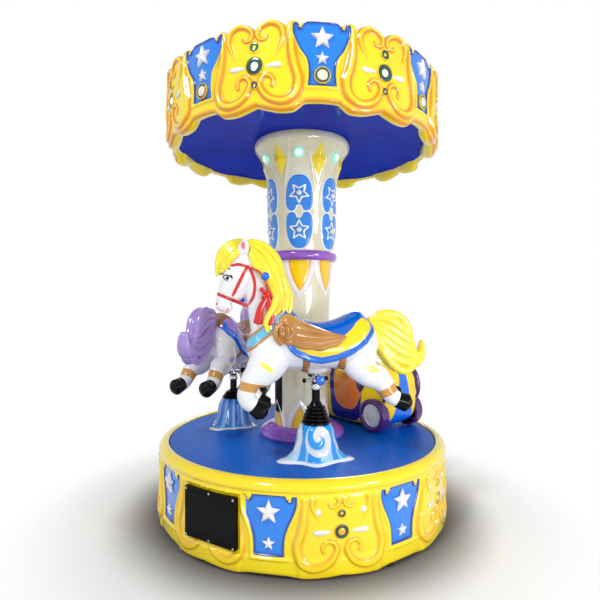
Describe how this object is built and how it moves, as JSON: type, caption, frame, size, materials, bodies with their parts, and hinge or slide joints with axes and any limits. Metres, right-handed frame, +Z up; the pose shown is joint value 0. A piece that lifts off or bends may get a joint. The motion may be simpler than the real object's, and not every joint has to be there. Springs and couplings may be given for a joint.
{
  "type": "kiddie ride carousel",
  "caption": "Free-standing mini carousel for small children: round base, turning deck with galloping horses and a car seat, centre column and crowned canopy.",
  "frame": {"origin": "centre of the base on the floor", "axes": "+Z up along the centre column, -Y towards the front, +X to the right seen from the front"},
  "size_m": [1.4999, 1.5, 2.2169],
  "materials": {
    "frame_steel": "satin black paint",
    "bright_steel": "machined",
    "foot_rubber": "matte",
    "yellow_shell": "gloss painted glass fibre",
    "smoked_pane": "gloss smoked acrylic",
    "black_plastic": "matte",
    "grey_box": "powder coat",
    "roller_rubber": "matte",
    "blue_deck": "gloss blue paint on tread plate",
    "purple_shell": "gloss",
    "cream_shell": "pearl gloss",
    "blue_ceiling": "gloss",
    "lamp_lens": "frosted lens",
    "yellow_gem": "clear gloss",
    "green_gem": "clear gloss",
    "white_shell": "pearl gloss",
    "blue_pedestal": "gloss",
    "boot_rubber": "satin",
    "chrome": "polished",
    "blue_plastic": "gloss",
    "car_yellow": "gloss painted glass fibre",
    "navy_vinyl": "satin vinyl"
  },
  "bodies": {
    "base": {"base_frame": "frame_steel", "levelling_feet": "foot_rubber", "centre_post": "bright_steel", "track_ring": "bright_steel", "skirt_shell": "yellow_shell", "window_frame": "black_plastic", "window_pane": "smoked_pane", "window_screws": "bright_steel", "mains_inlet": "black_plastic", "control_box": "grey_box", "speaker": "black_plastic", "drive_motor": "grey_box", "roller_brackets": "frame_steel", "slip_ring": "black_plastic"},
    "turntable": {"turntable_frame": "frame_steel", "hub_bearings": "bright_steel", "deck_plate": "blue_deck", "column_core": "frame_steel", "column_foot_ring": "purple_shell", "column_lower_shell": "cream_shell", "column_mid_ring": "purple_shell", "column_upper_shell": "cream_shell", "column_hatch": "black_plastic", "column_lamps": "lamp_lens", "column_gems": "yellow_gem", "medallion_lamps": "lamp_lens", "canopy_frame": "frame_steel", "canopy_ceiling": "blue_ceiling", "canopy_valance": "yellow_shell", "canopy_roof": "yellow_shell", "valance_lamps": "lamp_lens", "valance_gems": "green_gem", "pedestal_a": "blue_pedestal", "pedestal_b": "blue_pedestal", "guide_tube_a": "bright_steel", "guide_tube_b": "bright_steel", "bellows_a": "boot_rubber", "bellows_b": "boot_rubber", "car_shell": "car_yellow", "car_trim": "purple_shell", "car_wheels": "purple_shell", "car_seat": "navy_vinyl"},
    "support_roller_1": {"support_roller_1": "roller_rubber"},
    "support_roller_2": {"support_roller_2": "roller_rubber"},
    "support_roller_3": {"support_roller_3": "roller_rubber"},
    "drive_roller": {"drive_roller": "roller_rubber"},
    "crank_wheel_a": {"crank_wheel_a": "roller_rubber"},
    "crank_wheel_b": {"crank_wheel_b": "roller_rubber"},
    "horse_a": {"post_a": "bright_steel", "bracket_a": "chrome", "footrest_a": "chrome", "horse_a_shell": "white_shell", "handlebar_a": "blue_plastic"},
    "horse_b": {"post_b": "bright_steel", "bracket_b": "chrome", "footrest_b": "chrome", "horse_b_shell": "white_shell", "handlebar_b": "blue_plastic"},
    "steering_wheel": {"steering_wheel": "black_plastic"}
  },
  "joints": [
    {"name": "turntable_spin", "type": "hinge", "parent": "base", "child": "turntable", "pos_m": [0, 0, 0], "axis": [0, 0, 1], "continuous": true},
    {"name": "support_roller_1_spin", "type": "hinge", "parent": "base", "child": "support_roller_1", "pos_m": [0.5456, -0.315, 0.2947], "axis": [0.866, -0.5, 0], "continuous": true},
    {"name": "support_roller_2_spin", "type": "hinge", "parent": "base", "child": "support_roller_2", "pos_m": [0, 0.63, 0.2947], "axis": [0, 1, 0], "continuous": true},
    {"name": "support_roller_3_spin", "type": "hinge", "parent": "base", "child": "support_roller_3", "pos_m": [-0.5456, -0.315, 0.2947], "axis": [-0.866, -0.5, 0], "continuous": true},
    {"name": "drive_roller_spin", "type": "hinge", "parent": "base", "child": "drive_roller", "pos_m": [0.5456, 0.315, 0.2947], "axis": [0.866, 0.5, 0], "continuous": true},
    {"name": "crank_wheel_a_spin", "type": "hinge", "parent": "turntable", "child": "crank_wheel_a", "pos_m": [0.07304, -0.5007, 0.1503], "axis": [0.1444, -0.9895, 0], "continuous": true},
    {"name": "crank_wheel_b_spin", "type": "hinge", "parent": "turntable", "child": "crank_wheel_b", "pos_m": [-0.47014, 0.18709, 0.1503], "axis": [-0.9291, 0.3697, 0], "continuous": true},
    {"name": "horse_a_lift", "type": "slide", "parent": "turntable", "child": "horse_a", "axis": [0, 0, 1], "range_m": [-0.07, 0.01], "deforming": ["bellows_a"]},
    {"name": "horse_b_lift", "type": "slide", "parent": "turntable", "child": "horse_b", "axis": [0, 0, 1], "range_m": [-0.01, 0.07], "deforming": ["bellows_b"]},
    {"name": "steering_wheel_turn", "type": "hinge", "parent": "turntable", "child": "steering_wheel", "pos_m": [0.39984, 0.20364, 0.69], "axis": [-0.5077, 0.6429, 0.5736], "continuous": true}
  ],
  "couplings": [
    {"joint": "support_roller_1_spin", "follows": "turntable_spin", "ratio": -18},
    {"joint": "support_roller_2_spin", "follows": "turntable_spin", "ratio": -18},
    {"joint": "support_roller_3_spin", "follows": "turntable_spin", "ratio": -18},
    {"joint": "drive_roller_spin", "follows": "turntable_spin", "ratio": -18},
    {"joint": "crank_wheel_a_spin", "follows": "turntable_spin", "ratio": -6.325},
    {"joint": "crank_wheel_b_spin", "follows": "turntable_spin", "ratio": -6.325},
    {"joint": "horse_b_lift", "follows": "horse_a_lift", "ratio": -1}
  ]
}
